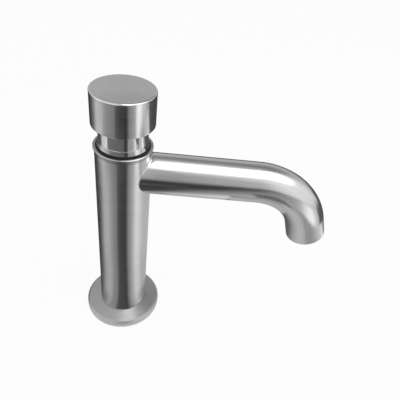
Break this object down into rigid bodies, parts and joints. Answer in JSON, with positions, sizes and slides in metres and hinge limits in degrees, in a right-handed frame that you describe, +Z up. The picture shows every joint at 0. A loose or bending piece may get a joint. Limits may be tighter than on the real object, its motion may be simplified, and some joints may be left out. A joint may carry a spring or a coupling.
{
  "type": "push timed tap",
  "caption": "Deck-mounted push timed tap: upright tube on a round foot, swept spout and a spring-returned round push cap.",
  "frame": {"origin": "centre of the base's underside, at the mouth of the inlet thread on the column's axis", "axes": "+Z up the column towards the push cap, +X out along the spout"},
  "size_m": [0.1565, 0.0518, 0.1715],
  "materials": {
    "brushed_steel": "brushed stainless steel, satin",
    "polished_neck": "polished and plated",
    "turned_steel": "turned stainless steel",
    "turned_brass": "turned brass, bare",
    "black_rubber": "black nitrile rubber",
    "white_plastic": "acetal, natural white",
    "plated_ring": "plated"
  },
  "bodies": {
    "tap_body": {"aerator_housing": "plated_ring", "aerator_insert": "white_plastic", "aerator_screen": "white_plastic", "aerator_washer": "black_rubber", "barrel": "turned_brass", "barrel_gasket": "black_rubber", "barrel_o_ring": "black_rubber", "base_flange": "brushed_steel", "base_gasket": "black_rubber", "bleed_needle": "turned_steel", "bonnet": "polished_neck", "column_tube": "brushed_steel", "flange_o_ring": "black_rubber", "flow_regulator": "white_plastic", "foot_insert": "turned_steel", "inlet_strainer": "turned_steel", "mouth_ring": "brushed_steel", "neck_seal": "black_rubber", "outlet_ring": "turned_steel", "partition": "turned_steel", "return_spring": "turned_steel", "spout_tube": "brushed_steel", "spring_seat": "turned_steel", "stem_bush": "white_plastic", "stem_o_ring": "black_rubber"},
    "stem": {"stem": "turned_steel", "piston": "white_plastic", "piston_seal": "black_rubber", "piston_clip": "turned_steel", "valve_disc": "turned_steel", "valve_washer": "black_rubber", "valve_nut": "turned_steel", "cap_clip": "turned_steel"},
    "button": {"push_cap": "brushed_steel", "cap_hub": "turned_brass"}
  },
  "joints": [
    {"name": "button_push", "type": "slide", "parent": "tap_body", "child": "stem", "axis": [0, 0, -1], "range_m": [0, 0.008], "stiffness_N_per_m": 1500, "springref_m": -0.008, "deforming": ["return_spring"]},
    {"name": "button_spin", "type": "hinge", "parent": "stem", "child": "button", "pos_m": [0, 0, 0.16], "axis": [0, 0, 1], "continuous": true}
  ]
}
